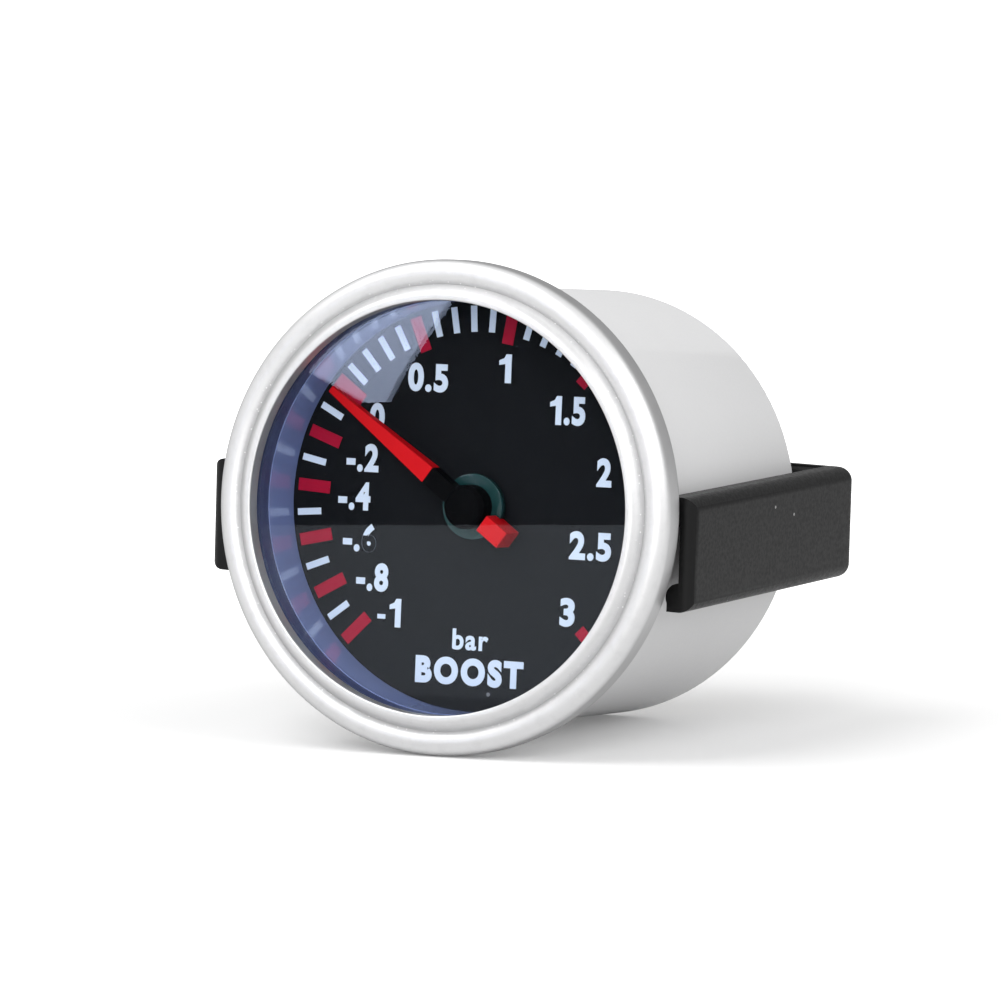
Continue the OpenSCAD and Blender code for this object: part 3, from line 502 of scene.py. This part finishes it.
def spun(shape, outline, steps=256, closed=True):
    """Turns an outline of radius and depth around the gauge's axis."""
    verts = [shape.verts.new((r, y, 0.0)) for r, y in outline]
    first = 0 if closed else 1
    edges = [shape.edges.new((verts[i - 1], verts[i])) for i in range(first, len(verts))]
    bmesh.ops.spin(shape, geom=verts + edges, cent=(0, 0, 0), axis=(0, 1, 0), dvec=(0, 0, 0),
                   angle=2 * math.pi, steps=steps, use_merge=True, use_duplicate=False)


def arc(cx, cy, r, start, end, count):
    """Points of an arc in radius and depth, from one angle to another in degrees."""
    angles = [math.radians(start + (end - start) * i / count) for i in range(count + 1)]
    return [(cx + r * math.cos(angle), cy + r * math.sin(angle)) for angle in angles]


def bezel_outline():
    """The bezel's section: lip, valley, bead, flank and the roll behind."""
    s = sizes()
    bead_x = s.bezel_r - s.bead_r
    valley_angle = -math.degrees(math.acos((s.valley_r - bead_x) / s.bead_r))
    valley_y = -s.bead_y + s.bead_r * math.sin(math.radians(valley_angle))
    chamfer, flat = 0.2 * MM, 0.35 * MM
    crest = s.lip_r + chamfer + flat
    points = [(s.lip_r, -s.lip_front + s.lip_t), (s.lip_r, -s.lip_front + chamfer)]
    points += arc(s.lip_r + chamfer, -s.lip_front + chamfer, chamfer, 200, 270, 4)[1:]
    slope = 10
    for i in range(slope + 1):
        t = i / slope
        # Flat at the lip, and steeper towards the valley
        fall = t * t * (1.6 - 0.6 * t)
        points.append((crest + (s.valley_r - crest) * t, -s.lip_front + (valley_y + s.lip_front) * fall))
    points += arc(bead_x, -s.bead_y, s.bead_r, valley_angle, 0, 26)[1:]
    wall = s.bezel_wall
    points += arc(s.bezel_r - wall, -wall, wall, 0, 90, 8)
    points += [(s.roll_in_r, 0.0), (s.roll_in_r, -s.roll_t),
               (s.bezel_r - wall, -s.roll_t), (s.bezel_r - wall, -s.lip_front + s.lip_t)]
    return points


def lens_outline():
    """The glass's polished edge, from the front face to the back face."""
    s = sizes()
    edge, front, back = 0.15 * MM, -s.lens_front, -s.lens_front + s.lens_t
    return [(s.lens_r - edge, front), (s.lens_r, front + edge), (s.lens_r, back - edge),
            (s.lens_r - edge, back)]


def lens_shape(shape):
    """A flat glass disc: its edge is spun, and its two faces fill the rings."""
    spun(shape, lens_outline(), steps=192, closed=False)
    bmesh.ops.remove_doubles(shape, verts=shape.verts, dist=MERGE)
    middle = -sizes().lens_front + sizes().lens_t / 2
    rims = [edge for edge in shape.edges if len(edge.link_faces) == 1]
    front = [edge for edge in rims if edge.verts[0].co.y < middle]
    back = [edge for edge in rims if edge.verts[0].co.y > middle]
    bmesh.ops.contextual_create(shape, geom=front)
    bmesh.ops.contextual_create(shape, geom=back)


def figure_one_mesh():
    """The figure one with its flag, as a flat solid mesh in its own plane."""
    mesh = bpy.data.meshes.new("figure_one")
    shape = bmesh.new()
    face = shape.faces.new([shape.verts.new((x, y, 0.0)) for x, y in reversed(FIGURE_ONE)])
    wall = bmesh.ops.extrude_face_region(shape, geom=[face])
    top = [item for item in wall["geom"] if isinstance(item, bmesh.types.BMVert)]
    bmesh.ops.translate(shape, vec=(0, 0, 1), verts=top)
    shape.to_mesh(mesh)
    shape.free()
    return mesh


def word_mesh(text):
    """A word as a flat solid mesh in its own plane; its depth is scaled later."""
    if text == "1":
        return figure_one_mesh()
    curve = bpy.data.curves.new("word", "FONT")
    curve.body = text
    curve.size = 1.0
    curve.offset, curve.space_character = STROKES.get(text, PLAIN_STROKE)
    curve.extrude = 0.01
    curve.resolution_u = 6
    holder = bpy.data.objects.new("word", curve)
    bpy.context.scene.collection.objects.link(holder)
    graph = bpy.context.evaluated_depsgraph_get()
    mesh = bpy.data.meshes.new_from_object(holder.evaluated_get(graph))
    bpy.data.objects.remove(holder)
    bpy.data.curves.remove(curve)
    return mesh


def numerals_shape(shape):
    """All words of the dial, each fitted to its printed size and place."""
    s = sizes()
    for text, x, z, width, height in LABELS:
        mesh = word_mesh(text)
        low = [min(v.co[i] for v in mesh.vertices) for i in range(3)]
        high = [max(v.co[i] for v in mesh.vertices) for i in range(3)]
        middle = Vector([(a + b) / 2 for a, b in zip(low, high)])
        wanted = (width * MM, height * MM, s.print_t)
        scale = [size / (b - a) for size, a, b in zip(wanted, low, high)]
        mesh.transform(Matrix.Translation((x * MM, s.dial_y - s.print_t / 2, z * MM))
                       @ Matrix.Rotation(math.pi / 2, 4, "X")
                       @ Matrix.Diagonal((*scale, 1.0)) @ Matrix.Translation(-middle))
        shape.from_mesh(mesh)
        bpy.data.meshes.remove(mesh)


# Operators

class GAUGE_OT_stage(bpy.types.Operator):
    """Makes the camera, floor, lamps, world and the cards that the glass mirrors"""

    bl_idname = "gauge.stage"
    bl_label = "Camera and Stage"

    def execute(self, context):
        scene = context.scene
        scene.view_settings.view_transform = "Standard"
        self.camera(scene)
        self.world(scene)
        self.floor(scene)
        for lamp in LAMPS:
            self.lamp(scene, *lamp)
        for card in CARDS:
            self.card(scene, *card)
        return {"FINISHED"}

    def camera(self, scene):
        """The camera that took the photograph, rolled a little."""
        lens = bpy.data.cameras.new("camera")
        lens.lens = CAMERA_LENS
        lens.sensor_width = CAMERA_SENSOR
        lens.clip_start, lens.clip_end = CAMERA_CLIP
        camera = bpy.data.objects.new("camera", lens)
        camera.location = CAMERA_PLACE
        camera.rotation_mode = "QUATERNION"
        view = (Vector(CAMERA_TARGET) - Vector(CAMERA_PLACE)).to_track_quat("-Z", "Y")
        camera.rotation_quaternion = view @ Quaternion((0, 0, 1), math.radians(CAMERA_ROLL))
        scene.collection.objects.link(camera)
        scene.camera = camera

    def world(self, scene):
        """White to the camera and to mirrors, and a soft pale light."""
        world = bpy.data.worlds.new("studio")
        world.use_nodes = True
        tree = world.node_tree
        back = tree.nodes["Background"]
        back.inputs["Color"].default_value = (1, 1, 1, 1)
        path = tree.nodes.new("ShaderNodeLightPath")
        seen = path.outputs["Is Camera Ray"]
        for ray in ("Is Glossy Ray", "Is Transmission Ray"):
            seen = math_node(tree, "MAXIMUM", seen, path.outputs[ray])
        strength = ramp(tree, seen, 0.0, 1.0, WORLD_LIGHT, WORLD_SEEN, smooth=False)
        tree.links.new(strength, back.inputs["Strength"])
        scene.world = world

    def floor(self, scene):
        """A pale floor under the tilted gauge, which keeps its shadow and fades to white far away."""
        mesh = bpy.data.meshes.new("floor")
        shape = bmesh.new()
        bmesh.ops.create_grid(shape, x_segments=2, y_segments=2, size=FLOOR_HALF)
        turn = Vector(FLOOR_NORMAL).normalized().to_track_quat("Z", "Y").to_matrix().to_4x4()
        bmesh.ops.transform(shape, matrix=Matrix.Translation(FLOOR_POINT) @ turn, verts=shape.verts)
        shape.to_mesh(mesh)
        shape.free()
        material, tree, shader = blank_material("floor_white")
        shader.inputs["Base Color"].default_value = (FLOOR_GREY, FLOOR_GREY, FLOOR_GREY, 1.0)
        shader.inputs["Roughness"].default_value = 0.9
        shader.inputs["Specular IOR Level"].default_value = 0.0
        far = tree.nodes.new("ShaderNodeVectorMath")
        far.operation = "LENGTH"
        tree.links.new(tree.nodes.new("ShaderNodeTexCoord").outputs["Object"], far.inputs[0])
        lift = ramp(tree, far.outputs["Value"], GLOW_NEAR, GLOW_FAR, GLOW_LOW, GLOW_HIGH)
        seen = tree.nodes.new("ShaderNodeLightPath").outputs["Is Camera Ray"]
        glow = tree.nodes.new("ShaderNodeEmission")
        tree.links.new(math_node(tree, "MULTIPLY", seen, lift), glow.inputs["Strength"])
        add = tree.nodes.new("ShaderNodeAddShader")
        tree.links.new(shader.outputs[0], add.inputs[0])
        tree.links.new(glow.outputs[0], add.inputs[1])
        tree.links.new(add.outputs[0], tree.nodes["Material Output"].inputs["Surface"])
        mesh.materials.append(material)
        piece = bpy.data.objects.new("floor", mesh)
        scene.collection.objects.link(piece)

    def lamp(self, scene, name, place, size, power):
        """A square soft lamp that points at the gauge."""
        lamp = bpy.data.lights.new(name, "AREA")
        lamp.shape = "SQUARE"
        lamp.size = size
        lamp.energy = power
        holder = bpy.data.objects.new(name, lamp)
        holder.location = place
        holder.rotation_euler = Vector(place).to_track_quat("Z", "Y").to_euler()
        scene.collection.objects.link(holder)

    def card(self, scene, name, tint, depth, low, high, outline):
        """A card that only mirrors see, upright at a depth, with its strength rising from low to high."""
        mesh = bpy.data.meshes.new(name)
        shape = bmesh.new()
        bmesh.ops.contextual_create(shape, geom=[shape.verts.new((x, depth, z)) for x, z in outline])
        shape.to_mesh(mesh)
        shape.free()
        material, tree, shader = blank_material(name)
        tree.nodes.remove(shader)
        split = tree.nodes.new("ShaderNodeSeparateXYZ")
        tree.links.new(tree.nodes.new("ShaderNodeTexCoord").outputs["Object"], split.inputs[0])
        glow = tree.nodes.new("ShaderNodeEmission")
        glow.inputs["Color"].default_value = (*tint, 1.0)
        tree.links.new(ramp(tree, split.outputs["Z"], *CARD_RISE, low, high), glow.inputs["Strength"])
        clear = tree.nodes.new("ShaderNodeBsdfTransparent")
        mirrored = tree.nodes.new("ShaderNodeLightPath").outputs["Is Glossy Ray"]
        mixed_shader(tree, mirrored, clear.outputs[0], glow.outputs[0])
        mesh.materials.append(material)
        card = bpy.data.objects.new(name, mesh)
        card.visible_shadow = False
        card.visible_diffuse = False
        card.visible_camera = False
        scene.collection.objects.link(card)


class GAUGE_OT_bezel(bpy.types.Operator):
    """Turns the rolled aluminium bezel"""

    bl_idname = "gauge.bezel"
    bl_label = "Bezel"

    def execute(self, context):
        finished("bezel_rim", lambda shape: spun(shape, bezel_outline()), bezel_metal(), "case",
                 replaced=("bezel",), sharp=50.0)
        return {"FINISHED"}


class GAUGE_OT_glass(bpy.types.Operator):
    """Makes the glass and the gasket that it lies on"""

    bl_idname = "gauge.glass"
    bl_label = "Glass"

    def execute(self, context):
        # A low index keeps the glass's reflections as weak as the photograph's
        clear = clear_glass("lens_clear", (0.97, 0.985, 1.0), 1.28)
        finished("lens_glass", lens_shape, clear, "case", replaced=("lens",), sharp=30.0)
        dressed("lens_gasket", grained("gasket_rubber", (0.035, 0.05, 0.13), 0.45))
        return {"FINISHED"}


class GAUGE_OT_case(bpy.types.Operator):
    """Paints the case and the light chamber"""

    bl_idname = "gauge.case"
    bl_label = "Case"

    def execute(self, context):
        paint = grained("case_paint", colours().case[:], 0.55, scale=2600.0, spread=0.08, vary=0.015,
                        height=0.012 * MM)
        dressed("case_shell", paint)
        dressed("light_chamber", grained("chamber_white", (0.78, 0.78, 0.76), 0.5))
        return {"FINISHED"}


class GAUGE_OT_dial(bpy.types.Operator):
    """Finishes the dial and the shroud, and prints the marks and words"""

    bl_idname = "gauge.dial"
    bl_label = "Dial"

    def execute(self, context):
        c = colours()
        black = grained("dial_black", c.dial[:], 0.62, scale=5000.0, spread=0.05, vary=0.1,
                        height=0.004 * MM, dust=0.01, dust_colour=(0.16, 0.17, 0.19), dust_scale=420.0,
                        gloss=0.05)
        plastic = grained("shroud_plastic", c.shroud[:], 0.2, scale=1500.0, spread=0.05, vary=0.08,
                          height=0.004 * MM, coat=0.5)
        pale = grained("print_pale", c.pale[:], 0.55, scale=4000.0, spread=0.05, vary=0.03)
        red = grained("print_red", c.red[:], 0.55, scale=4000.0, spread=0.05, vary=0.05, gloss=0.15)
        dressed("dial_plate", black)
        dressed("shroud_ring", plastic)
        dressed("scale_minor_marks", pale)
        dressed("scale_major_marks", red)
        finished("dial_numerals", numerals_shape, pale, "case", sharp=30.0)
        return {"FINISHED"}


class GAUGE_OT_pointer(bpy.types.Operator):
    """Finishes the pointer and its hub"""

    bl_idname = "gauge.pointer"
    bl_label = "Pointer"

    def execute(self, context):
        red = grained("pointer_red", colours().pointer[:], 0.5, scale=3500.0, gloss=0.15)
        black = grained("hub_black", (0.0022, 0.0024, 0.003), 0.55, gloss=0.02)
        green = grained("guide_green", (0.009, 0.042, 0.043), 0.14, scale=900.0, spread=0.03, vary=0.1,
                        coat=0.25, gloss=0.3)
        dressed("pointer_blade", red, bevel=0.08 * MM)
        dressed("pointer_tail", red, bevel=0.12 * MM)
        dressed("pointer_hub", black, bevel=0.1 * MM)
        dressed("pointer_light_guide", green, bevel=0.1 * MM)
        return {"FINISHED"}


class GAUGE_OT_bracket(bpy.types.Operator):
    """Finishes the moulded bracket"""

    bl_idname = "gauge.bracket"
    bl_label = "Bracket"

    def execute(self, context):
        black = grained("bracket_black", colours().bracket[:], 0.40, scale=2400.0, spread=0.07, vary=0.1,
                        height=0.03 * MM, dust=0.02, dust_colour=(0.30, 0.30, 0.30), dust_scale=800.0,
                        gloss=0.19)
        dressed("bracket", black, bevel=0.15 * MM)
        return {"FINISHED"}


class GAUGE_OT_movement(bpy.types.Operator):
    """Finishes the brass, steel and bronze pieces of the movement"""

    bl_idname = "gauge.movement"
    bl_label = "Movement"

    def execute(self, context):
        brass = turned_metal("brass", (0.72, 0.52, 0.22), 0.3)
        steel = turned_metal("steel", (0.56, 0.57, 0.58), 0.25)
        bronze = turned_metal("tube_bronze", (0.62, 0.38, 0.17), 0.3)
        spring = turned_metal("spring_bronze", (0.6, 0.42, 0.2), 0.25)
        for node in ("hairspring_collet", "hairspring_stud", "movement_front_plate", "movement_back_plate",
                     "movement_pillars", "sector_gear", "link", "tube_tip", "socket_block"):
            dressed(node, brass)
        for node in ("pinion_arbor", "plate_screws", "block_screws", "sector_arbor", "sector_link_pin",
                     "damper_plug"):
            dressed(node, steel)
        dressed("bourdon_tube", bronze)
        dressed("hairspring", spring)
        return {"FINISHED"}


class GAUGE_OT_mounting(bpy.types.Operator):
    """Finishes the inlet, studs, nuts and washers"""

    bl_idname = "gauge.mounting"
    bl_label = "Inlet and Mounting"

    def execute(self, context):
        brass = turned_metal("inlet_brass", (0.70, 0.50, 0.22), 0.28, rings=6000.0)
        rubber = grained("washer_rubber", (0.012, 0.012, 0.012), 0.7)
        zinc = grained("zinc_plate", (0.55, 0.56, 0.57), 0.3, scale=1800.0, spread=0.1, vary=0.08,
                       height=0.006 * MM, metallic=1.0)
        dressed("inlet_fitting", brass, bevel=0.12 * MM)
        dressed("inlet_washer", rubber)
        for node in ("mounting_studs", "nut_left", "nut_right", "washer_left", "washer_right"):
            dressed(node, zinc, bevel=0.08 * MM)
        return {"FINISHED"}


class GAUGE_OT_lamp(bpy.types.Operator):
    """Finishes the lamp holder, its bulb and filament"""

    bl_idname = "gauge.lamp"
    bl_label = "Lamp"

    def execute(self, context):
        plastic = grained("holder_black", (0.02, 0.02, 0.021), 0.5, scale=2200.0, spread=0.08, vary=0.1,
                          height=0.02 * MM)
        dressed("lamp_holder", plastic, bevel=0.15 * MM)
        dressed("lamp_bulb", clear_glass("bulb_clear", (0.97, 0.97, 0.95), 1.5))
        dressed("lamp_filament", turned_metal("tungsten", (0.3, 0.3, 0.31), 0.4))
        return {"FINISHED"}


OPERATORS = (GAUGE_OT_stage, GAUGE_OT_bezel, GAUGE_OT_glass, GAUGE_OT_case, GAUGE_OT_dial, GAUGE_OT_pointer,
             GAUGE_OT_bracket, GAUGE_OT_movement, GAUGE_OT_mounting, GAUGE_OT_lamp)


class GAUGE_PT_panel(bpy.types.Panel):
    """Lists the gauge's sizes, colours and steps"""

    bl_idname = "GAUGE_PT_panel"
    bl_label = "Panel Boost Gauge"
    bl_space_type = "VIEW_3D"
    bl_region_type = "UI"
    bl_category = "Gauge"

    def draw(self, context):
        for group in (context.scene.gauge_sizes, context.scene.gauge_colours):
            box = self.layout.box()
            for name in group.bl_rna.properties.keys():
                if name not in ("rna_type", "name"):
                    box.prop(group, name)
        for operator in OPERATORS:
            self.layout.operator(operator.bl_idname)


CLASSES = (GaugeSizes, GaugeColours, *OPERATORS, GAUGE_PT_panel)


def register():
    for item in CLASSES:
        bpy.utils.register_class(item)
    bpy.types.Scene.gauge_sizes = PointerProperty(type=GaugeSizes)
    bpy.types.Scene.gauge_colours = PointerProperty(type=GaugeColours)


def unregister():
    del bpy.types.Scene.gauge_colours
    del bpy.types.Scene.gauge_sizes
    for item in reversed(CLASSES):
        bpy.utils.unregister_class(item)


def main():
    """Builds the whole gauge."""
    register()
    bpy.ops.gauge.stage()
    bpy.ops.gauge.bezel()
    bpy.ops.gauge.glass()
    bpy.ops.gauge.case()
    bpy.ops.gauge.dial()
    bpy.ops.gauge.pointer()
    bpy.ops.gauge.bracket()
    bpy.ops.gauge.movement()
    bpy.ops.gauge.mounting()
    bpy.ops.gauge.lamp()


if __name__ == "__main__":
    main()
